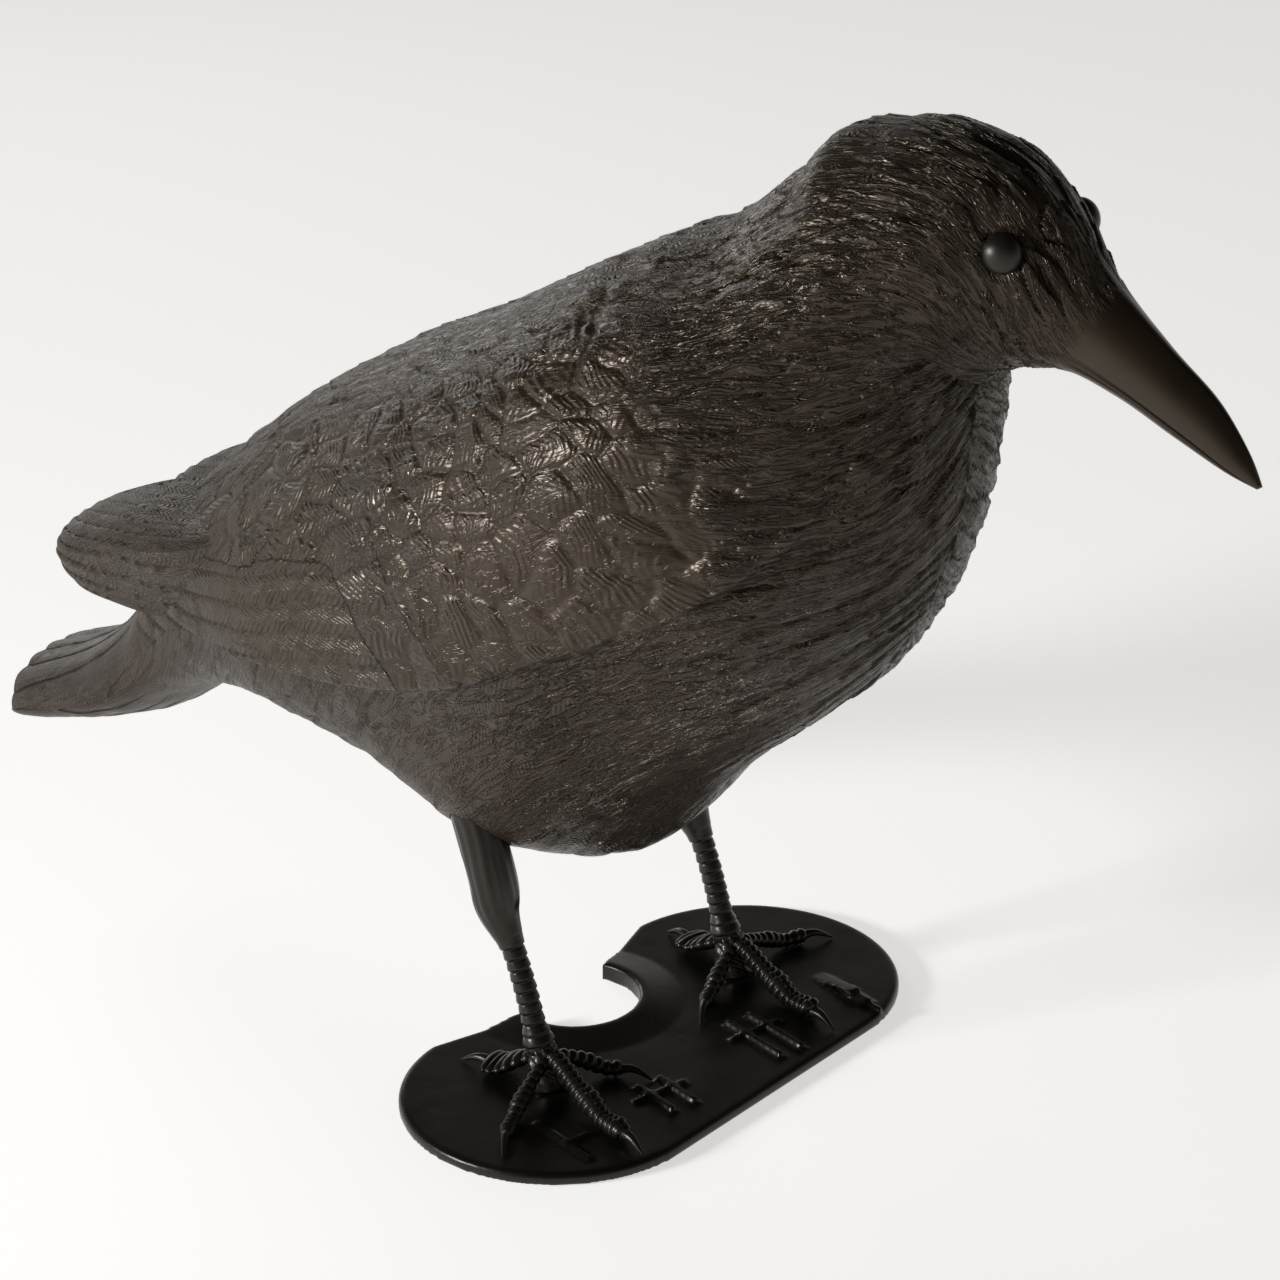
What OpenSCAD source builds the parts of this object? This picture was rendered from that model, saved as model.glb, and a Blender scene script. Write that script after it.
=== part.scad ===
// Static perched crow decoy: a hollow moulded bird on two plug-in legs, standing on an oval plate.
// +X is the way the beak points, +Y the bird's left, +Z up.
// The origin is the centre of the base plate's underside.

/* [Base plate] */
// Length of the plate across the bird, mm
plate_len = 158; // [140:1:180]
// Width of the plate along the bird, mm
plate_wid = 80; // [76:1:90]
// Thickness of the plate, mm
plate_t = 3; // [3:0.5:6]
// Radius of the notch in the back edge, mm
notch_r = 17; // [14:0.5:18]
// How far the collar round the notch rises, mm
collar_h = 1.8; // [0.5:0.1:2.5]

/* [Legs] */
// Distance of each leg from the middle plane, mm
leg_y = 38; // [34:0.5:42]
// Backward lean of the legs, degrees
lean = 19; // [18:1:24]
// Radius of the shank, mm
shank_r = 3.6; // [3:0.1:4.5]
// Radius of the tang that plugs into the body, mm
tang_r = 6.2; // [5.5:0.1:7]
// Radius of the peg under the foot, mm
peg_r = 3.5; // [2.5:0.1:4]
// Radius of the middle toes, mm
toe_r = 3; // [2.5:0.1:3.2]

/* [Body] */
// Thickness of the moulded wall, mm
wall = 2; // [1.6:0.1:3]
// How far the folded wings stand out from the body, mm
wing_relief = 3; // [1:0.5:4]

/* [Eyes] */
// Radius of the eye dome, mm
eye_r = 5.2; // [4.6:0.1:6]
// Radius of the stem behind the eye, mm
eye_stem_r = 3; // [2:0.1:4]

/* [Hidden] */
$fn = 64;
fit_gap = 0.1;          // radial clearance of the pegs and tangs
edge_r = 1.4;            // rounding of the plate's upper edge
foot_x = -3;            // where the leg axis meets the plate's upper face
tang_from = 54;         // along the leg axis, from the plate's upper face
tang_to = 92;
socket_wall = 2;
hub_r = 6.5;
beads = 5;              // scale rows drawn on each toe
toe_lift = 0.3;         // gap under the toes
socket_from = 50;
notch_x = -plate_wid / 2 + 13;
around = 48;            // points round each section of the body
steps = 2;              // sections drawn per given section

plastic = [0.10, 0.095, 0.09];
gloss = [0.05, 0.05, 0.05];

// Sections of the body from the tail to the beak, each square to the line through their middles:
// [x, z, tilt, height above, height below, half width, wing lower edge in degrees, wing thickness 0 to 1]
body_sections = [
    [-213, 40, 18, 13, 6, 24, 20, 0],
    [-190, 48, 20, 15, 7, 27, 20, 0],
    [-167, 59, 24, 19, 9, 30, 20, 0],
    [-148, 74, 28, 26, 12, 32, 10, 0],
    [-125, 91, 30, 37, 23, 41, 5, 0.3],
    [-91, 108, 31, 46, 49, 52, -9, 1],
    [-51, 128, 32, 54, 85, 58, -16, 1],
    [-10, 154, 34, 51, 75, 60, -24, 1],
    [25, 182, 38, 44, 71, 56, -33, 0.7],
    [51, 205, 42, 35, 56, 44, -40, 0.3],
    [69, 226, 38, 32, 38, 34, -30, 0],
    [83, 236, 20, 29, 32, 29, -10, 0],
    [97, 239, 0, 24, 32, 25, 0, 0],
    [110, 235, -15, 18, 24.5, 18, 0, 0],
    [123, 227, -25, 11, 14, 11, 0, 0],
    [137, 218, -35, 9, 8.5, 7.5, 0, 0],
    [151, 210, -42, 7.5, 6.5, 5.5, 0, 0],
    [162, 202.5, -50, 4, 3.5, 3.2, 0, 0],
    [168, 198.5, -55, 0.9, 0.9, 0.9, 0, 0],
];
cavity_first = 3;
cavity_last = 13;

// Sections of a wing tip: [x, z, tilt, height above, height below, half width, 0, 0]
tip_sections = [
    [-184, 97, 26, 4, 6, 8, 0, 0],
    [-177, 100, 26, 8, 13, 14, 0, 0],
    [-160, 107, 28, 11, 20, 19, 0, 0],
    [-140, 114, 30, 12, 25, 23, 0, 0],
    [-118, 121, 30, 9, 27, 26, 0, 0],
    [-96, 130, 31, 6, 27, 27, 0, 0],
];
tip_y = 20;

// Toes of each foot: [heading in degrees from +X, length, radius as a share of toe_r]
right_toes = [[-16, 41, 1], [42, 26, 0.72], [-68, 36, 0.72], [191, 26, 0.85]];
left_toes = [[-13, 40, 1], [78, 31, 0.72], [-69, 29, 0.72], [169, 28, 0.85]];
guide_turn = -12;       // heading of the guides on the plate

// A smooth curve through the given rows; t counts rows.
function smooth_row(rows, t) =
    let (n = len(rows), i = min(floor(t), n - 2), f = t - i,
         a = rows[max(i - 1, 0)], b = rows[i], c = rows[i + 1], d = rows[min(i + 2, n - 1)])
    0.5 * ((2 * b) + (c - a) * f + (2 * a - 5 * b + 4 * c - d) * f * f + (3 * b - a - 3 * c + d) * f * f * f);

function ramp01(x, lo, hi) = let (t = min(1, max(0, (x - lo) / (hi - lo)))) t * t * (3 - 2 * t);

// One point of a section at angle q round it (0 = bird's left side, 90 = top), drawn in by inset.
function section_point(s, q, inset, relief, y0) =
    let (rise = 90 - abs(q - 90),
         wing = relief * s[7] * ramp01(rise, s[6], s[6] + 6) * (1 - ramp01(rise, 66, 82)),
         w = max(0.3, s[5] - inset + wing),
         h = max(0.3, (sin(q) > 0 ? s[3] : s[4]) - inset + wing),
         v = h * sin(q))
    [s[0] - v * sin(s[2]), y0 + w * cos(q), s[1] + v * cos(s[2])];

module loft(rows, count, inset, relief, y0) {
    n = (len(rows) - 1) * steps;
    sections = [for (i = [0:n]) smooth_row(rows, i / steps)];
    points = [for (s = sections, j = [0:count - 1])
        section_point(s, -90 + 360 * (j + 0.5) / count, inset, relief, y0)];
    walls = [for (i = [0:n - 1], j = [0:count - 1], k = [0, 1])
        let (a = i * count + j, b = i * count + (j + 1) % count)
        k == 0 ? [a, a + count, b] : [b, a + count, b + count]];
    ends = [for (j = [1:count - 2], k = [0, 1])
        k == 0 ? [0, j, j + 1] : [n * count, n * count + j + 1, n * count + j]];
    polyhedron(points, concat(walls, ends));
}

// Moves its children to the leg axis: z runs up the leg from the plate's upper face.
module on_leg(side) {
    translate([foot_x, side * leg_y, plate_t]) rotate([0, -lean, 0]) children();
}

module plate_profile(r) {
    union() {
        square([r - edge_r, plate_t]);
        square([r, plate_t - edge_r]);
        translate([r - edge_r, plate_t - edge_r]) circle(edge_r);
    }
}

module plate_blank() {
    r = plate_wid / 2;
    straight = plate_len - plate_wid;
    for (s = [-1, 1]) translate([0, s * straight / 2, 0])
        rotate_extrude() intersection() { plate_profile(r); square([r, plate_t]); }
    translate([0, straight / 2, 0]) rotate([90, 0, 0]) linear_extrude(straight)
        for (m = [0, 1]) mirror([m, 0]) intersection() { plate_profile(r); square([r, plate_t]); }
}

// The back edge draws in from both ends towards the notch.
module back_cut() {
    from = (plate_len - plate_wid) / 2 + 5;
    behind = -notch_r - 20;
    polygon([[behind, -from], [0, -from], [8.5, -notch_r], [8.5, notch_r], [0, from], [behind, from]]);
}

// Raised guides on the plate. Each starts at its own origin and runs along x.
module guide_at(x, y) {
    translate([x, y, plate_t - 0.5]) rotate([0, 0, guide_turn]) children();
}
module wedge_guide() {
    translate([0, 2, 0]) rotate([90, 0, 0]) linear_extrude(4) polygon([[0, 0], [19, 3], [19, 0]]);
    translate([18, 0, 0]) rotate([0, 90, 0]) cylinder(h = 6, r = 2.3);
    translate([23, -0.6, 0]) cube([6, 1.2, 1.8]);
}
module rail_guide(length) {
    for (y = [-3.5, 3.5]) translate([0, y - 0.9, 0]) cube([length, 1.8, 2.2]);
    translate([length * 0.3, -8, 0]) cube([1.6, 16, 1.6]);
}
module corner_guide() {
    cube([22, 1.4, 1.3]);
    translate([12, -0.5, 0]) cube([1.4, 8, 1.7]);
}

module base_plate() {
    color(gloss) difference() {
        union() {
            plate_blank();
            translate([notch_x, 0, plate_t - 1]) cylinder(h = 1 + collar_h, r1 = notch_r + 17, r2 = notch_r + 2);
            guide_at(11, 51) wedge_guide();
            guide_at(13, 18) rail_guide(22);
            guide_at(15.5, -22) rail_guide(15);
            guide_at(6, -55) corner_guide();
        }
        translate([notch_x, 0, -1]) cylinder(h = plate_t + collar_h + 3, r = notch_r);
        translate([-plate_wid / 2, 0, -1]) linear_extrude(plate_t + collar_h + 3) back_cut();
        for (s = [-1, 1]) translate([foot_x, s * leg_y, -1]) cylinder(h = plate_t + 2, r = peg_r + fit_gap);
    }
}

// A toe lying along its heading: a row of beads and a tapered claw, starting inside the foot's hub.
module toe(heading, length, r) {
    from = 4;
    claw = 8;
    pitch = (length - from - claw) / beads;
    profile = concat(
        [[0, 0]],
        [for (i = [0:beads - 1], k = [0, 1, 2])
            [r - [0.5, 0, 0][k], (i + [0, 0.3, 0.8][k]) * pitch]],
        [[r - 0.6, length - from - claw], [0.6, length - from], [0, length - from]]
    );
    rotate([0, 0, heading]) translate([from, 0, r]) rotate([0, 90, 0]) rotate_extrude() polygon(profile);
}

module leg(side, toes) {
    color(gloss) {
        on_leg(side) rotate_extrude() polygon([
            [0, 3], [shank_r, 3], [shank_r, 20], [shank_r + 1, 23], [shank_r, 26],
            [shank_r, 42], [tang_r, tang_from], [tang_r, tang_to], [0, tang_to],
        ]);
        translate([foot_x, side * leg_y, plate_t]) {
            rotate_extrude() polygon([[0, 0], [hub_r, 0], [hub_r, 7], [hub_r - 2, 10], [0, 10]]);
            translate([0, 0, toe_lift]) for (t = toes) toe(t[0], t[1], t[2] * toe_r);
            translate([0, 0, 0.3 - plate_t]) cylinder(h = plate_t + 1, r = peg_r);
        }
    }
}
module leg_right() { leg(-1, right_toes); }
module leg_left() { leg(1, left_toes); }

module eye_at(side) {
    translate([109, side * 16.4, 243]) rotate([-side * 76, 0, 0]) rotate([0, 14, 0]) children();
}
module eye_bead(side) {
    color(gloss) eye_at(side) {
        intersection() {
            translate([0, 0, -1]) sphere(eye_r);
            translate([0, 0, 0.6]) cylinder(h = 10, r = 10);
        }
        translate([0, 0, -4]) cylinder(h = 5, r = eye_stem_r);
    }
}
module eye_right() { eye_bead(-1); }
module eye_left() { eye_bead(1); }

module cavity() {
    rows = [for (i = [cavity_first:cavity_last]) body_sections[i]];
    difference() {
        loft(rows, around / 2, wall + 0.8, 0, 0);
        for (s = [-1, 1]) on_leg(s) translate([0, 0, socket_from])
            cylinder(h = tang_to - socket_from + socket_wall, r = tang_r + fit_gap + socket_wall);
    }
}

module body_shell() {
    color(plastic) difference() {
        union() {
            loft(body_sections, around, 0, wing_relief, 0);
            for (s = [-1, 1]) loft(tip_sections, around / 2, 0, 0, s * tip_y);
        }
        cavity();
        for (s = [-1, 1]) {
            on_leg(s) translate([0, 0, socket_from]) cylinder(h = tang_to - socket_from, r = tang_r + fit_gap);
            eye_at(s) translate([0, 0, -5]) cylinder(h = 5.6, r = eye_stem_r);
            eye_at(s) translate([0, 0, 0.6]) cylinder(h = 10, r = eye_r + 0.4);
        }
    }
}

base_plate();
leg_right();
leg_left();
body_shell();
eye_right();
eye_left();
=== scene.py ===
import math
import bpy
import numpy as np
from mathutils import Matrix, Vector


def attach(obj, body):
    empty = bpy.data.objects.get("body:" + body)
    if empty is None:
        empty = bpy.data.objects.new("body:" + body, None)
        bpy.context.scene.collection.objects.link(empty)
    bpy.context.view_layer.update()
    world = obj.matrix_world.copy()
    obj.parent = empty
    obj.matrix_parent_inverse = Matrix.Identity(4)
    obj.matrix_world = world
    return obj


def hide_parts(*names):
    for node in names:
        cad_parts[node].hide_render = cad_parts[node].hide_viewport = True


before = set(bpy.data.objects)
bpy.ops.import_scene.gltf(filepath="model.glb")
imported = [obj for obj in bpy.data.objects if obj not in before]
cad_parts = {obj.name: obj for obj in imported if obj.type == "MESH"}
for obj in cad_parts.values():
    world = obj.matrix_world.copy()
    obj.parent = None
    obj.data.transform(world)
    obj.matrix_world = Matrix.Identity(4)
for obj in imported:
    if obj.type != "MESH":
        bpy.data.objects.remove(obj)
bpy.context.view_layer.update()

MM = 0.001
FAR = 9.0  # further than any neighbour, in cells

# ---------------------------------------------------------------- small helpers


def step(x, lo, hi):
    """0 below lo, 1 above hi, smooth between."""
    t = np.clip((x - lo) / (hi - lo), 0.0, 1.0)
    return t * t * (3 - 2 * t)


def bump_at(x, middle, width):
    """1 at middle, falling smoothly to 0 a couple of widths away."""
    return np.exp(-((x - middle) / width) ** 2)


def rand(a, b, salt=0.0):
    """A repeatable number from 0 to 1 for each pair of cells."""
    v = np.sin(a * 127.1 + b * 311.7 + salt * 74.7) * 43758.5453
    return v - np.floor(v)


def smooth_rows(rows, t):
    """A Catmull-Rom curve through the rows, at the positions t."""
    rows = np.asarray(rows, float)
    n = len(rows)
    i = np.clip(np.floor(t).astype(int), 0, n - 2)
    f = (t - i)[:, None]
    a, b = rows[np.maximum(i - 1, 0)], rows[i]
    c, d = rows[i + 1], rows[np.minimum(i + 2, n - 1)]
    return 0.5 * (2 * b + (c - a) * f + (2 * a - 5 * b + 4 * c - d) * f * f
                  + (3 * b - a - 3 * c + d) * f ** 3)


def soft_noise(p, scale, seed):
    """Smooth value noise from -1 to 1 over an (n, 3) array of points."""
    q = p / scale + seed * 17.31
    cell = np.floor(q)
    f = q - cell
    f = f * f * (3 - 2 * f)
    out = np.zeros(p.shape[:-1])
    for dx in (0, 1):
        for dy in (0, 1):
            for dz in (0, 1):
                w = np.abs(1 - dx - f[..., 0]) * np.abs(1 - dy - f[..., 1]) * np.abs(1 - dz - f[..., 2])
                h = np.sin((cell[..., 0] + dx) * 127.1 + (cell[..., 1] + dy) * 311.7
                           + (cell[..., 2] + dz) * 74.7) * 43758.5453
                out += w * (h - np.floor(h))
    return out * 2 - 1


def mesh_object(name, verts, faces, attributes=None):
    """A smooth-shaded mesh object from millimetre coordinates."""
    me = bpy.data.meshes.new(name)
    me.from_pydata((np.asarray(verts) * MM).tolist(), [], faces)
    me.validate()
    for key, values in (attributes or {}).items():
        if np.ndim(values) == 1:
            me.attributes.new(key, "FLOAT", "POINT").data.foreach_set("value", np.asarray(values, np.float32))
        else:
            me.attributes.new(key, "FLOAT_VECTOR", "POINT").data.foreach_set(
                "vector", np.asarray(values, np.float32).ravel())
    me.polygons.foreach_set("use_smooth", [True] * len(me.polygons))
    ob = bpy.data.objects.new(name, me)
    bpy.context.scene.collection.objects.link(ob)
    return ob


def tube_faces(rings, around, first=0):
    """Quads for a closed tube of rings, with a fan of triangles on each end round a centre point."""
    faces = []
    for i in range(rings - 1):
        for j in range(around):
            a = first + i * around + j
            b = first + i * around + (j + 1) % around
            faces.append((a, b, b + around, a + around))
    low, high = first + rings * around, first + rings * around + 1
    top = first + (rings - 1) * around
    for j in range(around):
        faces.append((low, first + (j + 1) % around, first + j))
        faces.append((high, top + j, top + (j + 1) % around))
    return faces


def normals_of(p):
    """Outward unit normals of a grid of points [ring, around, xyz]."""
    du = np.gradient(p, axis=0)
    dv = np.roll(p, -1, 1) - np.roll(p, 1, 1)
    n = np.cross(dv, du)
    n /= np.maximum(np.linalg.norm(n, axis=2, keepdims=True), 1e-9)
    middle = p.mean(1, keepdims=True)
    if ((p - middle) * n).sum(2).mean() < 0:
        n = -n
    return n


def with_ends(values):
    """One value per vertex from a grid of numbers or vectors, with zeros for a tube's two end points."""
    flat = values.reshape(-1, 3) if values.ndim == 3 else values.reshape(-1)
    return np.concatenate([flat, np.zeros_like(flat[:2])])


def join(name, objects):
    """Joins the objects into the first one and gives it the name."""
    bpy.ops.object.select_all(action="DESELECT")
    for o in objects:
        o.select_set(True)
    bpy.context.view_layer.objects.active = objects[0]
    bpy.ops.object.join()
    ob = bpy.context.view_layer.objects.active
    ob.name = name
    return ob


# ---------------------------------------------------------------- the bird's body

# Sections from the tail to the beak, square to the line through their middles, in mm:
# x, z, tilt, height above, height below, half width, wing's lower edge (degrees), wing thickness
BODY = [
    (-213, 40, 18, 13, 6, 24, 20, 0),
    (-190, 48, 20, 15, 7, 27, 20, 0),
    (-167, 59, 24, 19, 9, 30, 20, 0),
    (-148, 74, 28, 26, 12, 32, 10, 0),
    (-125, 91, 30, 37, 23, 41, 5, 0.3),
    (-91, 108, 31, 46, 49, 52, -9, 1),
    (-51, 128, 32, 54, 85, 58, -16, 1),
    (-10, 154, 34, 51, 75, 60, -24, 1),
    (25, 182, 38, 44, 71, 56, -33, 0.7),
    (51, 205, 42, 35, 56, 44, -40, 0.3),
    (69, 226, 38, 32, 38, 34, -30, 0),
    (83, 236, 20, 29, 32, 29, -10, 0),
    (97, 239, 0, 24, 32, 25, 0, 0),
    (110, 235, -15, 18, 24.5, 18, 0, 0),
    (123, 227, -25, 11, 14, 11, 0, 0),
    (137, 218, -35, 9, 8.5, 7.5, 0, 0),
    (151, 210, -42, 7.5, 6.5, 5.5, 0, 0),
    (162, 202.5, -50, 4, 3.5, 3.2, 0, 0),
    (168, 198.5, -55, 0.9, 0.9, 0.9, 0, 0),
]
# The same for a wing tip, which stands clear of the body behind the wing
TIP = [
    (-184, 97, 26, 4, 6, 8, 0, 0),
    (-177, 100, 26, 8, 13, 14, 0, 0),
    (-160, 107, 28, 11, 20, 19, 0, 0),
    (-140, 114, 30, 12, 25, 23, 0, 0),
    (-118, 121, 30, 9, 27, 26, 0, 0),
    (-96, 130, 31, 6, 27, 27, 0, 0),
]
TIP_Y = 20.0
WING_RELIEF = 3.0
EYE = Vector((109.0, 15.5, 243.0))
THIGH = (-28.0, 38.0, 70.0)


def shingles(along, across, pitch, overlap, width, round_from, jitter, salt):
    """Overlapping feathers. along grows towards the tail in mm, across counts columns.
    Returns each point's place along its feather from 0 to 1 and in mm, its place across,
    and how far in from the rim it is."""
    place = np.zeros_like(along)
    side = np.zeros_like(along)
    rim = np.zeros_like(along)
    done = np.zeros(along.shape, bool)
    length = pitch * overlap
    for j in range(int(math.ceil(overlap)) + 1, -1, -1):
        row = np.floor(along / pitch) - j
        best = np.full(along.shape, FAR)
        best_place, best_side, best_rim = (np.zeros_like(along) for _ in range(3))
        base_col = np.floor(across - 0.5 * (row % 2))
        for k in (-1, 0, 1, 2):
            col = base_col + k
            shift = (rand(row, col, salt) - 0.5) * jitter
            slide = (rand(row, col, salt + 3) - 0.5) * jitter * pitch
            t = (along - row * pitch - slide) / length
            half = width * np.sqrt(np.clip(1 - np.clip((t - round_from) / (1 - round_from), 0, 1) ** 2, 0, 1))
            d = across - (col + 0.5 * (row % 2) + shift)
            near = np.abs(d) / np.maximum(half, 1e-6)
            ok = (t > 0) & (t < 1) & (near < 1) & (near < best)
            best = np.where(ok, near, best)
            best_place = np.where(ok, t, best_place)
            best_side = np.where(ok, d / width, best_side)
            best_rim = np.where(ok, 1 - near, best_rim)
        take = (best < FAR) & ~done
        place = np.where(take, best_place, place)
        side = np.where(take, best_side, side)
        rim = np.where(take, best_rim, rim)
        done |= take
    return place, place * length, side, rim


def cells(along, across, jitter, salt):
    """Irregular rounded cells, one to a unit square. Returns how far each point is inside its border,
    its place along and across its own cell, and a number from 0 to 1 for each cell."""
    nearest = np.full(along.shape, FAR)
    second = np.full(along.shape, FAR)
    place, side, dice = np.zeros_like(along), np.zeros_like(along), np.zeros_like(along)
    for j in (-1, 0, 1):
        row = np.floor(along) + j
        offset = 0.5 * (row % 2)
        for i in (-1, 0, 1):
            col = np.floor(across - offset) + i
            a = along - row - 0.5 - (rand(row, col, salt) - 0.5) * jitter
            b = across - offset - col - 0.5 - (rand(row, col, salt + 3) - 0.5) * jitter
            away = np.hypot(a, b)
            closer = away < nearest
            second = np.where(closer, nearest, np.minimum(second, away))
            nearest = np.where(closer, away, nearest)
            place = np.where(closer, a, place)
            side = np.where(closer, b, side)
            dice = np.where(closer, rand(row, col, salt + 6), dice)
    return second - nearest, place, side, dice


def wing_edge(x):
    """Height of the folded wing's lower edge, in mm."""
    return np.interp(x, (-190, -159, -120, -88, -56, -35, 0, 40), (92, 90, 93, 99, 106, 111, 119, 128))


def flight_feathers(x, z, above_edge):
    """Long layered feathers that run back to the wing's tip: each point's height and place in its lane."""
    spread = np.interp(x, (-180, -120, -60), (5.2, 6.2, 8.2))
    depth = (above_edge + 0.7 * np.sin(x / 23.0) + 0.35 * np.sin(x / 7.3 + z / 9.0)) / spread + 0.3
    within = depth - np.floor(depth)
    return within * 0.9 - 0.6 * bump_at(within, 1.0, 0.14) - 0.6 * bump_at(within, 0.0, 0.10), within


def body_grid(rows, rings, around, y0=0.0, relief=WING_RELIEF, boxy=1.0):
    """The bare shape: points [ring, around, xyz] and, for each, its row position, angle from the back,
    distance from the tail's end, ring length and the angle of the wing's lower edge. boxy under 1 squares
    the lower half."""
    samples = np.linspace(0, len(rows) - 1, 2000)
    fine = smooth_rows(rows, samples)
    run = np.concatenate([[0], np.cumsum(np.hypot(np.diff(fine[:, 0]), np.diff(fine[:, 1])))])
    want = np.linspace(0, run[-1], rings)
    t = np.interp(want, run, samples)
    s = smooth_rows(rows, t)[:, None, :]
    q = (-90 + 360 * (np.arange(around) + 0.5) / around)[None, :]
    rise = 90 - np.abs(q - 90)
    edge = s[..., 6]
    wing = relief * s[..., 7] * step(rise, edge, edge + 2.5) * (1 - step(rise, 66, 82))
    w = np.maximum(0.3, s[..., 5] + wing)
    h = np.maximum(0.3, np.where(np.sin(np.radians(q)) > 0, s[..., 3], s[..., 4]) + wing)
    v = h * np.sin(np.radians(q))
    tilt = np.radians(s[..., 2])
    out = np.cos(np.radians(q))
    out = np.sign(out) * np.abs(out) ** np.where((q < 0) | (q > 180), boxy, 1.0)
    p = np.stack([s[..., 0] - v * np.sin(tilt), y0 + w * out + 0 * v,
                  s[..., 1] + v * np.cos(tilt)], -1)
    back = np.abs(((q - 90 + 180) % 360) - 180) + 0 * v
    low_edge = 90 - s[..., 6] + 0 * v
    girth = np.linalg.norm(np.roll(p, 1, 1) - p, axis=2).sum(1)[:, None]
    return p, t[:, None] + 0 * v, back, want[:, None] + 0 * v, girth + 0 * v, low_edge


def barb_phase(place, side, lean, pitch):
    """Barbs slant away from each feather's shaft towards its tip."""
    return (place - np.abs(side) * lean) / pitch


def build_body():
    """The bird's skin without its free wing tips."""
    rings, around = 600, 500
    p, t, back, run, girth, low_edge = body_grid(BODY, rings, around)
    n = normals_of(p)
    left = (p[..., 1] > 0).astype(float)
    total = run.max()
    tailward = total - run
    arc = back / 360 * girth
    lump = soft_noise(p, 26.0, 1)
    fine_lump = soft_noise(p, 7.0, 2)
    wander = soft_noise(p, 18.0, 3)

    front_edge = t + 0.35 * fine_lump + 0.25 * wander
    on_wing = step(low_edge - back, 0, 3) * step(t, 2.6, 3.4) * (1 - step(front_edge, 8.3, 8.7))
    mantle = (1 - step(back + 8 * wander, 34, 46)) * step(t, 3.0, 4.0) * (1 - step(t, 8.8, 9.8))
    tail = 1 - step(t, 2.4, 3.3)
    head = step(front_edge, 8.6, 9.6) * (1 - step(t, 13.4, 14.4))
    beak = step(t, 13.2, 14.2)
    under = np.clip(1 - on_wing - tail - head - beak, 0, 1)

    d = np.zeros_like(t)
    phase = np.zeros_like(t)
    barb = np.zeros_like(t)

    def lay(mask, relief, layer, lean, pitch, strength):
        """Adds one kind of feather where its mask is strongest."""
        nonlocal d, phase, barb
        height, place, side, rim = layer
        edge = step(rim, 0.0, 0.22)
        shaft = bump_at(side, 0, 0.07) * step(rim, 0.1, 0.3)
        d += mask * relief * (height * 0.9 + 0.35 * edge - 0.35 + 0.12 * shaft)
        strong = mask > 0.5
        phase = np.where(strong, barb_phase(place, side, lean, pitch), phase)
        barb = np.where(strong, strength * edge, barb)

    def scales(mask, relief, layer, length, width, lean, pitch, strength):
        """Adds irregular scales with engraved outlines where their mask is strongest."""
        nonlocal d, phase, barb
        inside, place, side, dice = layer
        groove = bump_at(inside, 0, 0.10)
        dome = 0.4 * np.minimum(inside, 0.5)
        d += mask * relief * (0.45 * place + dome - 0.8 * groove + 0.2 * (dice - 0.5))
        strong = mask > 0.5
        phase = np.where(strong, barb_phase(place * length, side * width, lean, pitch), phase)
        barb = np.where(strong, strength * (0.35 + 0.9 * dice) * step(inside, 0.05, 0.22), barb)

    # where the wing has long feathers and where it has coverts
    x, z = p[..., 0], p[..., 2]
    front = step(t, 6.1, 6.9)
    flight_line = wing_edge(x) + np.interp(x, (-160, -100, -50, 0), (22, 30, 34, 0))
    flight = on_wing * (1 - step(z - flight_line + 3 * wander, -1.0, 1.0))
    flight *= 1 - step(x + 0.7 * (z - 110) + 6 * wander, -36, -30)
    flight *= 1 - mantle
    coverts = on_wing * (1 - flight) * (1 - mantle)
    # coverts: rounded scales with engraved outlines, longer towards the tail
    round_arc = arc + 1.6 * fine_lump + 3 * wander
    round_run = tailward + 1.6 * soft_noise(p, 6.0, 9) + 4 * wander
    scales(coverts * front, 0.95, cells(round_run / 12.0, round_arc / 10.5 + left * 50, 0.75, 1),
           12, 10.5, 0.5, 1.9, 1.0)
    scales(coverts * (1 - front), 0.85, cells(round_run / 21.0, round_arc / 10.5 + left * 50, 0.7, 2),
           21, 10.5, 1.0, 2.2, 1.5)
    # a few raised wandering lines over them
    rim = cells((tailward + 7 * wander) / 34.0, (arc + 7 * lump) / 26.0 + left * 50, 0.8, 3)[0]
    d += (coverts + 0.6 * flight) * 0.55 * bump_at(rim, 0.05, 0.022)
    # long flight feathers, layered along the wing's lower edge
    layers, within = flight_feathers(x, z, z - wing_edge(x))
    d += flight * 0.75 * layers
    strong = flight > 0.5
    phase = np.where(strong, (run + 5.5 * np.abs(within - 0.45) * 2 + 1.2 * fine_lump) / 2.1, phase)
    barb = np.where(strong, 1.5 * step(within, 0.0, 0.15) * (1 - step(within, 0.85, 1.0)), barb)
    # the back between the wings
    layer = shingles(tailward + 6 * wander, arc / 6.0 + 0.4 * wander + left * 2, 10.0, 2.2, 0.62, 0.3, 0.9, 4)
    lay(mantle, 0.9, layer, 4.0, 1.7, 0.7)
    # the tail: long straight feathers
    lane_t = np.abs(p[..., 1]) / 7.5 + np.where(back > 90, 0.4, 0.0)
    within_t = lane_t - np.floor(lane_t)
    groove = 0.5 * bump_at(within_t, 1.0, 0.12) + 0.5 * bump_at(within_t, 0.0, 0.12)
    d += tail * (1 - step(t, 1.8, 2.8)) * 0.5 * (within_t * 0.8 - groove)
    strong = tail > 0.5
    phase = np.where(strong, (run + 7 * within_t) / 1.8, phase)
    barb = np.where(strong, 0.6, barb)
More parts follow.
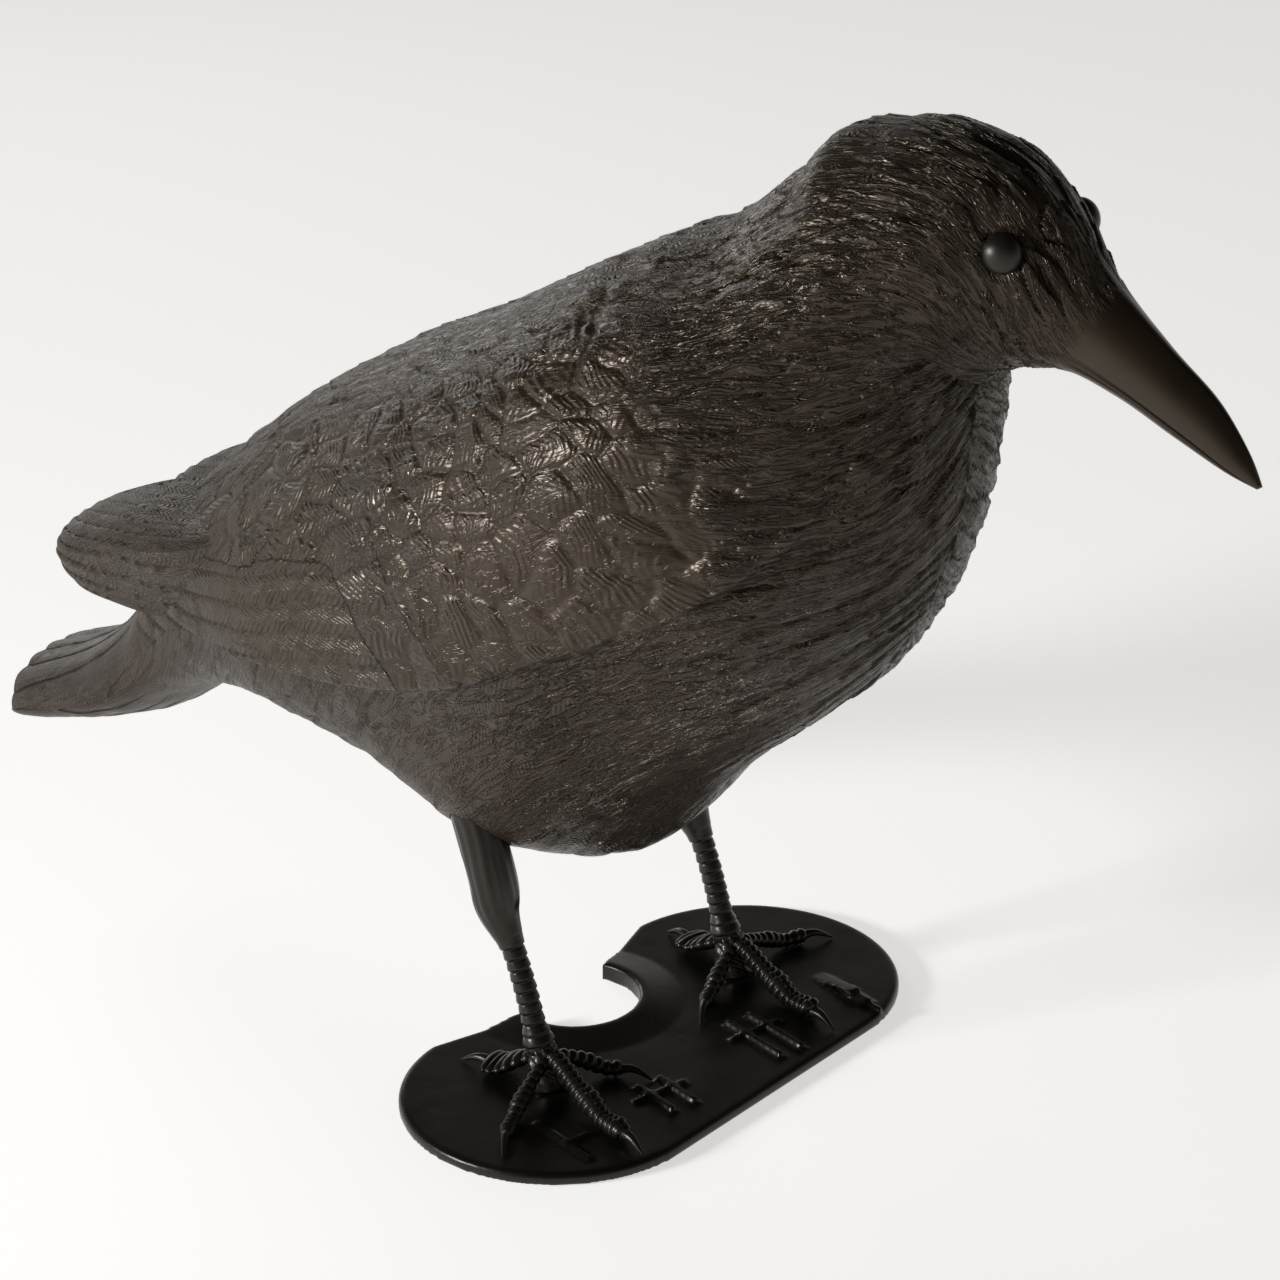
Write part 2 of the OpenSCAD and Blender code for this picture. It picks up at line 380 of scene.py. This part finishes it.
    # head and neck: short hair-like feathers
    layer = shingles(tailward + 5 * wander, arc / 4.6 + 0.7 * fine_lump + left * 11,
                     7.5, 2.0, 0.62, 0.2, 1.0, 5)
    lay(head, 1.2, layer, 3.0, 1.3, 0.2)
    # breast and belly: long narrow streaks
    forward = step(t, 6.4, 8.0)
    layer = shingles(tailward + 8 * wander, arc / 5.6 + 0.4 * wander + left * 13,
                     17.0, 2.1, 0.62, 0.15, 0.9, 6)
    lay(under * forward, 1.1, layer, 4.0, 1.4, 0.5)
    layer = shingles(tailward + 8 * wander, arc / 9.0 + 0.4 * wander + left * 17,
                     22.0, 2.1, 0.62, 0.2, 0.9, 7)
    lay(under * (1 - forward), 0.45, layer, 4.0, 1.4, 0.4)

    soft = 1 - beak
    d += soft * (0.9 * lump + 0.35 * fine_lump)
    # ruffle on the nape, crease at the throat, thighs above the legs
    d += (2.2 * bump_at(t, 10.4, 0.28) * (1 - step(back, 40, 80))
          - 1.2 * bump_at(t, 10.0, 0.22) * (1 - step(back, 30, 70)))
    d -= 1.6 * bump_at(t, 11.2, 0.35) * step(back, 120, 150)
    for side in (-1, 1):
        away = np.linalg.norm(p - np.array([THIGH[0], side * THIGH[1], THIGH[2]]), axis=2)
        d += 4.0 * bump_at(away, 0, 20.0)
    # the mouth's line and the beak's ridge
    d -= 0.7 * bump_at(back, 118 - 10 * (t - 14) / 4, 3.2) * step(t, 12.9, 13.6) * (1 - step(t, 17.2, 17.8))
    d += beak * 0.5 * bump_at(back, 0, 16) * (1 - step(t, 16.8, 17.6))
    # lids and sockets of the eyes
    for side in (-1, 1):
        away = np.linalg.norm(p - np.array([EYE.x, side * EYE.y, EYE.z]), axis=2)
        d *= 1 - 0.9 * bump_at(away, 0, 7.5)
        d += 0.6 * bump_at(away, 6.3, 1.0) - 1.2 * bump_at(away, 0, 4.6)
        barb = barb * (1 - bump_at(away, 0, 8.0))
    # the crown's hair lies low enough to stay inside the CAD box
    d -= 1.4 * head * (1 - step(back, 40, 90))
    ends = step(run, 0, 3.0) * (1 - step(run, total - 4, total - 0.5))
    p = p + n * (d * ends - 0.2)[..., None]
    # scalloped ends of the tail feathers
    p[..., 0] += 1.2 * (1 - step(run, 0, 12)) * (1 - np.abs(np.sin(lane_t * math.pi)))

    verts = np.concatenate([p.reshape(-1, 3), [p[0].mean(0), p[-1].mean(0)]])
    flow = np.stack([run, arc * np.where(left > 0, 1, -1), wander * 4], -1)
    hair = head + 0.75 * under * step(t, 5.5, 7.5) + 0.4 * under + 0.9 * mantle + 0.25 * tail + 0.12 * on_wing
    return mesh_object("body", verts, tube_faces(rings, around), {
        "phase": with_ends(phase), "barb": with_ends(barb * soft), "hair": with_ends(hair),
        "horn": with_ends(beak), "shine": with_ends(step(t, 5.0, 6.6)), "flow": with_ends(flow)})


def build_tip(side):
    """The free end of a folded wing."""
    rings, around = 130, 150
    p, t, back, run, girth, _ = body_grid(TIP, rings, around, side * TIP_Y, 0.0, 0.55)
    n = normals_of(p)
    wander = soft_noise(p, 18.0, 3)
    arc = back / 360 * girth
    layers, within = flight_feathers(p[..., 0], p[..., 2], 0.43 * girth - arc)
    d = 0.75 * layers + 0.5 * soft_noise(p, 14.0, 5)
    p = p + n * (d * step(run, 0, 4) * step(p[..., 0], -196, -180))[..., None]
    verts = np.concatenate([p.reshape(-1, 3), [p[0].mean(0), p[-1].mean(0)]])
    flow = np.stack([run, arc, wander * 4], -1)
    plain = np.zeros_like(t)
    phase = (run + 5.5 * np.abs(within - 0.45) * 2 + 1.2 * soft_noise(p, 7.0, 2)) / 2.1
    barb = 1.5 * step(within, 0.0, 0.15) * (1 - step(within, 0.85, 1.0))
    return mesh_object("wing_tip", verts, tube_faces(rings, around), {
        "phase": with_ends(phase), "barb": with_ends(barb), "hair": with_ends(plain + 0.3),
        "horn": with_ends(plain), "shine": with_ends(plain), "flow": with_ends(flow)})


# ---------------------------------------------------------------- legs and feet

PLATE_T = 3.0
FOOT_X = -3.0
LEG_Y = 38.0
LEAN = 19.0
TANG_R = 6.2
SHANK_ACROSS = 2.9
SHANK_DEEP = 3.0
PEG_R = 3.4
CLAW = 8
OVER_PLATE = 0.3
# Toes of the right (-1) and left (+1) foot:
# heading at the hub, heading at the tip, length, radius, rows of beads
TOES = {
    -1: ((-18, -14, 41, 2.9, 2), (66, 16, 27, 2.1, 1), (-80, -54, 37, 2.0, 1), (191, 191, 26, 2.3, 1)),
    1: ((-15, -11, 40, 2.9, 2), (92, 54, 33, 2.1, 1), (-80, -58, 30, 2.0, 1), (169, 169, 28, 2.3, 1)),
}


def sweep(path, radii, around, detail=None):
    """A closed tube along path (mm). radii gives (across, deep) at each point; detail adds to them."""
    path = np.asarray(path, float)
    radii = np.asarray(radii, float)
    along = np.gradient(path, axis=0)
    along /= np.linalg.norm(along, axis=1, keepdims=True)
    up = np.array([0.0, 0.0, 1.0]) if abs(along[:, 2]).mean() < 0.7 else np.array([1.0, 0.0, 0.0])
    across = np.cross(up, along)
    across /= np.linalg.norm(across, axis=1, keepdims=True)
    deep = np.cross(along, across)
    q = 2 * np.pi * np.arange(around) / around
    extra = detail(np.arange(len(path))[:, None], q[None, :]) if detail else 0
    rx = radii[:, 0:1] + extra
    ry = radii[:, 1:2] + extra
    p = (path[:, None] + across[:, None] * (rx * np.cos(q))[..., None]
         + deep[:, None] * (ry * np.sin(q))[..., None])
    verts = np.concatenate([p.reshape(-1, 3), path[:1], path[-1:]])
    return verts, tube_faces(len(path), around)


def build_leg(side, name):
    """A leg with its foot and claws, in one piece."""
    parts = []
    lean = math.radians(LEAN)
    up = np.array([-math.sin(lean), 0, math.cos(lean)])
    base = np.array([FOOT_X, side * LEG_Y, PLATE_T])

    # shank and flattened thigh, then the round tang that plugs into the body
    s = np.concatenate([np.linspace(5, 54, 160), np.linspace(54.4, 92, 60)])
    path = base + s[:, None] * up
    flat = step(s, 40, 52) * (1 - step(s, 72, 76))
    across = SHANK_ACROSS + (TANG_R - SHANK_ACROSS) * step(s, 35, 53)
    deep = SHANK_DEEP + (TANG_R - SHANK_DEEP) * step(s, 35, 52)
    path[:, 0] += 0.6 * bump_at(s, 28, 12) - 1.3 * bump_at(s, 47, 6)
    scute = (s / 2.9) % 1.0
    on_shank = step(s, 8, 11) * (1 - step(s, 36, 42))

    def leg_detail(i, q):
        seams = 0.9 * bump_at(scute[i], 0, 0.1) + 0.9 * bump_at(scute[i], 1, 0.1)
        plates = on_shank[i] * 0.45 * (0.5 - scute[i] - seams)
        grooves = flat[i] * 0.22 * (np.sin(13 * q + 0.9 * np.sin(s[i] / 4.0)) - 1)
        knob = 1.1 * bump_at(s[i], 12, 3.4)
        return plates * (0.4 + 0.6 * np.clip(np.abs(np.sin(q)) * 1.6, 0, 1)) + grooves + knob

    v, f = sweep(path, np.stack([across, deep], 1), 48, leg_detail)
    parts.append(mesh_object("leg_part", v, f))

    # peg under the foot
    z = np.linspace(0.4, PLATE_T + 3, 12)
    v, f = sweep(np.stack([0 * z + base[0], 0 * z + base[1], z], 1), np.full((len(z), 2), PEG_R), 40)
    parts.append(mesh_object("leg_part", v, f))

    # the instep, a low knuckled mound
    z = np.linspace(0.0, 12.5, 40)
    r = 4.9 * np.sqrt(np.clip(1 - (z / 13.2) ** 2.2, 0.02, 1))
    v, f = sweep(np.stack([base[0] + 0 * z - 0.25 * z, base[1] + 0 * z, PLATE_T + 0.05 + z], 1),
                 np.stack([r, r], 1), 44,
                 lambda i, q: 0.5 * np.sin(9 * q + i * 0.5) * np.sin(i * 0.35))
    parts.append(mesh_object("leg_part", v, f))

    # toes slope down from the instep and lie on the plate, each with a hooked claw
    for start, end, length, radius, rows in TOES[side]:
        spread = start > 150  # the hind toe has a broad pad
        body = length - CLAW
        x = np.linspace(0, length, 160)
        turn = np.radians(start + (end - start) * step(x / length, 0.1, 1.0))
        ground = np.stack([np.cumsum(np.cos(turn)), np.cumsum(np.sin(turn))], 1) * (x[1] - x[0])
        drop = 6.5 * (1 - step(x / length, 0.0, 0.62))
        on_toe = (x > 1.5) & (x < body)
        xt = x[on_toe]
        r = radius * (0.80 + 0.24 * bump_at(xt, body * 0.55, 3.5) + 0.16 * bump_at(xt, body * 0.95, 3.0))
        r = r * (1 - 0.35 * step(xt, body - 1.5, body))
        wide = r * (1 + (1.5 * step(xt / body, 0.25, 0.8) if spread else 0))
        path = base + np.stack([ground[on_toe, 0], ground[on_toe, 1], drop[on_toe] + r * 0.95 + 0.35], 1)
        bead = (xt / (2.1 if rows == 2 else 2.3)) % 1.0

        def toe_detail(i, q, bead=bead, rows=rows, radius=radius):
            ring = 0.75 * np.sin(np.pi * bead[i]) - 0.4
            split = -0.7 * bump_at(np.cos(q), 0, 0.18) * (np.sin(q) > 0) if rows == 2 else 0.0
            return (ring + split) * radius / 3.0

        v, f = sweep(path, np.stack([wide, r * (0.75 if spread else 0.95)], 1), 40, toe_detail)
        v[:, 2] = np.maximum(v[:, 2], PLATE_T + OVER_PLATE)
        parts.append(mesh_object("leg_part", v, f))

        on_claw = x > body - 2
        c = (x[on_claw] - body + 2) / (length - body + 2)
        cr = radius * 0.58 * (1 - c) ** 0.8 + 0.22
        path = base + np.stack([ground[on_claw, 0], ground[on_claw, 1],
                                OVER_PLATE + cr + 1.3 * np.sin(math.pi * np.clip(c * 1.05, 0, 1)) ** 1.2], 1)
        v, f = sweep(path, np.stack([cr, cr], 1), 24)
        v[:, 2] = np.maximum(v[:, 2], PLATE_T + OVER_PLATE)
        parts.append(mesh_object("leg_part", v, f))
    return join(name, parts)


# ---------------------------------------------------------------- materials


def new_material(name):
    m = bpy.data.materials.new(name)
    m.use_nodes = True
    t = m.node_tree
    shader = t.nodes["Principled BSDF"]
    return m, t, shader


def link(tree, a, b):
    tree.links.new(a, b)


def math_node(t, op, *values):
    n = t.nodes.new("ShaderNodeMath")
    n.operation = op
    for i, v in enumerate(values):
        if isinstance(v, (int, float)):
            n.inputs[i].default_value = v
        else:
            link(t, v, n.inputs[i])
    return n.outputs[0]


def noise_node(t, vector, scale, detail=3.0, rough=0.55, distortion=0.0):
    n = t.nodes.new("ShaderNodeTexNoise")
    n.inputs["Scale"].default_value = scale
    n.inputs["Detail"].default_value = detail
    n.inputs["Roughness"].default_value = rough
    n.inputs["Distortion"].default_value = distortion
    link(t, vector, n.inputs["Vector"])
    return n.outputs["Fac"]


def attribute(t, name):
    n = t.nodes.new("ShaderNodeAttribute")
    n.attribute_name = name
    return n


def ramp(t, fac, stops):
    n = t.nodes.new("ShaderNodeValToRGB")
    link(t, fac, n.inputs["Fac"])
    while len(n.color_ramp.elements) < len(stops):
        n.color_ramp.elements.new(0.5)
    for e, (pos, col) in zip(n.color_ramp.elements, stops):
        e.position = pos
        e.color = (*col, 1)
    return n.outputs["Color"]


def bump(t, height, distance, strength, normal=None):
    n = t.nodes.new("ShaderNodeBump")
    n.inputs["Distance"].default_value = distance
    n.inputs["Strength"].default_value = strength
    link(t, height, n.inputs["Height"])
    if normal is not None:
        link(t, normal, n.inputs["Normal"])
    return n.outputs["Normal"]


def map_range(t, value, lo, hi, to_lo, to_hi):
    n = t.nodes.new("ShaderNodeMapRange")
    link(t, value, n.inputs["Value"])
    for key, v in (("From Min", lo), ("From Max", hi), ("To Min", to_lo), ("To Max", to_hi)):
        n.inputs[key].default_value = v
    return n.outputs["Result"]


def feather_plastic():
    """Satin plastic with barbs that follow each feather and strands engraved along the hair."""
    m, t, s = new_material("feather plastic")
    phase, barb, hair, horn, shine = (
        attribute(t, k).outputs["Fac"] for k in ("phase", "barb", "hair", "horn", "shine"))
    flow = attribute(t, "flow").outputs["Vector"]
    stretch = t.nodes.new("ShaderNodeVectorMath")
    stretch.operation = "MULTIPLY"
    stretch.inputs[1].default_value = (0.10, 0.50, 0.25)
    link(t, flow, stretch.inputs[0])
    strands = noise_node(t, stretch.outputs[0], 1.0, 3.0, 0.6, 0.9)
    line = math_node(t, "ABSOLUTE", math_node(t, "SUBTRACT", strands, 0.5))
    engraved = map_range(t, line, 0.0, 0.045, 0.0, 1.0)
    coord = t.nodes.new("ShaderNodeTexCoord").outputs["Object"]
    patch = noise_node(t, coord, 22.0, 3.0)
    grain = noise_node(t, coord, 900.0, 2.0)
    wave = math_node(t, "SINE", math_node(t, "MULTIPLY", phase, 6.2832))
    gaps = map_range(t, noise_node(t, coord, 260.0, 2.0), 0.35, 0.65, 0.1, 1.0)
    broken = math_node(t, "MULTIPLY", wave, gaps)
    barbs = math_node(t, "MULTIPLY", broken, barb)
    strand_h = math_node(t, "ADD", math_node(t, "MULTIPLY", strands, 2.0), engraved)
    strand_h = math_node(t, "MULTIPLY", strand_h, hair)
    n1 = bump(t, barbs, 0.00016, 0.8)
    n2 = bump(t, strand_h, 0.0007, 1.0, n1)
    n3 = bump(t, grain, 0.00003, 0.35, n2)
    link(t, n3, s.inputs["Normal"])
    shades = [(0.3, (0.015, 0.0100, 0.0062)), (0.7, (0.027, 0.0180, 0.0115))]
    link(t, ramp(t, patch, shades), s.inputs["Base Color"])
    rough = map_range(t, patch, 0.3, 0.7, 0.38, 0.52)
    rough = math_node(t, "SUBTRACT", rough, math_node(t, "MULTIPLY", shine, 0.15))
    rough = math_node(t, "ADD", rough, math_node(t, "MULTIPLY", horn, 0.06))
    link(t, rough, s.inputs["Roughness"])
    s.inputs["Specular IOR Level"].default_value = 0.44
    s.inputs["Specular Tint"].default_value = (1.0, 0.86, 0.70, 1)
    return m


def leg_plastic(name, shade, roughness):
    """Glossier plastic with a slight mottle and a fine grain."""
    m, t, s = new_material(name)
    coord = t.nodes.new("ShaderNodeTexCoord").outputs["Object"]
    patch = noise_node(t, coord, 60.0, 3.0)
    grain = noise_node(t, coord, 1200.0, 2.0)
    link(t, ramp(t, patch, [(0.3, tuple(0.8 * c for c in shade)), (0.7, shade)]), s.inputs["Base Color"])
    link(t, map_range(t, patch, 0.3, 0.7, roughness - 0.05, roughness + 0.07), s.inputs["Roughness"])
    link(t, bump(t, grain, 0.00003, 0.4, bump(t, patch, 0.0004, 0.5)), s.inputs["Normal"])
    s.inputs["Specular IOR Level"].default_value = 0.4
    s.inputs["Specular Tint"].default_value = (1.0, 0.92, 0.82, 1)
    return m


# ---------------------------------------------------------------- put it together

feather = feather_plastic()
gloss = leg_plastic("leg plastic", (0.010, 0.0092, 0.0078), 0.30)
plate_gloss = leg_plastic("plate plastic", (0.006, 0.0056, 0.0048), 0.30)
eye_gloss = leg_plastic("eye plastic", (0.010, 0.0090, 0.0080), 0.34)


def paint(ob, material):
    ob.data.materials.clear()
    ob.data.materials.append(material)


body = build_body()
SOCKET_R, SOCKET_LENGTH, SOCKET_MIDDLE = 6.3, 44, 70  # mm, the middle being up the leg's axis
EYE_R, EYE_DEPTH, EYE_TURN = 4.9, 0.8, 14
PLATE_VOXEL = 0.55

cutters = []
for side in (-1, 1):
    bpy.ops.mesh.primitive_cylinder_add(vertices=64, radius=SOCKET_R * MM, depth=SOCKET_LENGTH * MM)
    c = bpy.context.object
    c.matrix_world = (Matrix.Translation(Vector((FOOT_X, side * LEG_Y, PLATE_T)) * MM)
                      @ Matrix.Rotation(-math.radians(LEAN), 4, "Y")
                      @ Matrix.Translation((0, 0, SOCKET_MIDDLE * MM)))
    cutters.append(c)
cutter = join("cutter", cutters)
bpy.context.view_layer.objects.active = body
cut = body.modifiers.new("sockets", "BOOLEAN")
cut.operation = "DIFFERENCE"
cut.solver = "EXACT"
cut.object = cutter
bpy.ops.object.modifier_apply(modifier="sockets")
bpy.data.objects.remove(cutter)
body = join("bird_skin", [body, build_tip(-1), build_tip(1)])
paint(body, feather)
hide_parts("body_shell")
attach(body, "bird")

for side, node in ((-1, "leg_right"), (1, "leg_left")):
    leg = build_leg(side, node + "_moulded")
    paint(leg, gloss)
    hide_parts(node)
    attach(leg, "right_leg" if side < 0 else "left_leg")

for side, node in ((-1, "eye_right"), (1, "eye_left")):
    bpy.ops.mesh.primitive_uv_sphere_add(segments=64, ring_count=32, radius=EYE_R * MM)
    eye = bpy.context.object
    eye.name = node + "_bead"
    eye.data.transform(Matrix.Diagonal((1.0, EYE_DEPTH, 1.0, 1.0)))
    eye.location = Vector((EYE.x, side * EYE.y, EYE.z)) * MM
    eye.rotation_euler = (0, 0, math.radians(-side * EYE_TURN))
    eye.data.polygons.foreach_set("use_smooth", [True] * len(eye.data.polygons))
    paint(eye, eye_gloss)
    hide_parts(node)
    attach(eye, "bird")

# the base plate: the CAD solid with its edges softened like a moulding
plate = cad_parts["base_plate"].copy()
plate.data = plate.data.copy()
plate.name = "plate_moulded"
plate.parent = None
bpy.context.scene.collection.objects.link(plate)
plate.hide_render = False
if "custom_normal" in plate.data.attributes:
    plate.data.attributes.remove(plate.data.attributes["custom_normal"])
bpy.context.view_layer.objects.active = plate
mod = plate.modifiers.new("remesh", "REMESH")
mod.mode = "VOXEL"
mod.voxel_size = PLATE_VOXEL * MM
bpy.ops.object.modifier_apply(modifier="remesh")
mod = plate.modifiers.new("soften", "SMOOTH")
mod.factor = 0.5
mod.iterations = 4
bpy.ops.object.modifier_apply(modifier="soften")
plate.data.polygons.foreach_set("use_smooth", [True] * len(plate.data.polygons))
paint(plate, plate_gloss)
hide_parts("base_plate")
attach(plate, "base")

# ---------------------------------------------------------------- stage, light and camera

AZIMUTH, ELEVATION, DISTANCE, LENS = 39.3, 24.5, 1.021, 118.0
TARGET = Vector((0.0068, -0.0144, 0.1211))
LIGHT_TARGET = Vector((0, 0, 0.17))
SKY_TOP, SKY_BEHIND, SKY_FRONT = 0.07, 0.58, 0.22


def bearing(azimuth, elevation):
    """The unit vector from the bird towards a camera or light, with azimuth 0 on the bird's right."""
    az, el = math.radians(azimuth), math.radians(elevation)
    return Vector((math.sin(az) * math.cos(el), -math.cos(az) * math.cos(el), math.sin(el)))


bpy.ops.mesh.primitive_plane_add(size=40, location=(0, 0, -0.0003))
floor = bpy.context.object
floor.name = "floor"
pale, _, s = new_material("floor")
s.inputs["Base Color"].default_value = (0.88, 0.88, 0.87, 1)
s.inputs["Roughness"].default_value = 0.9
s.inputs["Emission Color"].default_value = (1, 0.99, 0.97, 1)
s.inputs["Emission Strength"].default_value = 0.62
paint(floor, pale)

world = bpy.data.worlds.new("studio")
bpy.context.scene.world = world
world.use_nodes = True
wt = world.node_tree
sky = wt.nodes.new("ShaderNodeTexCoord").outputs["Generated"]
split = wt.nodes.new("ShaderNodeSeparateXYZ")
link(wt, sky, split.inputs[0])
facing = wt.nodes.new("ShaderNodeVectorMath")
facing.operation = "DOT_PRODUCT"
facing.inputs[1].default_value = bearing(AZIMUTH, 0)
link(wt, sky, facing.inputs[0])
overhead = map_range(wt, split.outputs["Z"], 0.18, 0.50, 1.0, SKY_TOP)
around = map_range(wt, facing.outputs["Value"], -0.8, 0.8, SKY_BEHIND, SKY_FRONT)
background = wt.nodes["Background"]
background.inputs["Color"].default_value = (1.0, 0.975, 0.94, 1)
link(wt, math_node(wt, "MULTIPLY", overhead, around), background.inputs["Strength"])


def area_light(name, azimuth, elevation, distance, size, power):
    """A soft rectangular light aimed at the bird, with its bearing given like the camera's."""
    light = bpy.data.lights.new(name, "AREA")
    light.shape = "RECTANGLE"
    light.size, light.size_y = size
    light.energy = power
    light.spread = math.radians(90)
    ob = bpy.data.objects.new(name, light)
    away = bearing(azimuth, elevation)
    ob.location = LIGHT_TARGET + away * distance
    ob.rotation_euler = away.to_track_quat("Z", "Y").to_euler()
    ob.visible_camera = False
    bpy.context.scene.collection.objects.link(ob)


area_light("side softbox", -30, 10, 1.4, (0.30, 0.16), 4.2)
area_light("back softbox", -112, 14, 1.5, (0.6, 0.4), 0.7)

back_dir = bearing(AZIMUTH, ELEVATION)
cam = bpy.data.cameras.new("camera")
cam.lens = LENS
cam.sensor_width = 36.0
camera = bpy.data.objects.new("camera", cam)
camera.location = TARGET + back_dir * DISTANCE
camera.rotation_euler = (-back_dir).to_track_quat("-Z", "Y").to_euler()
bpy.context.scene.collection.objects.link(camera)
bpy.context.scene.camera = camera
bpy.context.scene.view_settings.view_transform = "Standard"
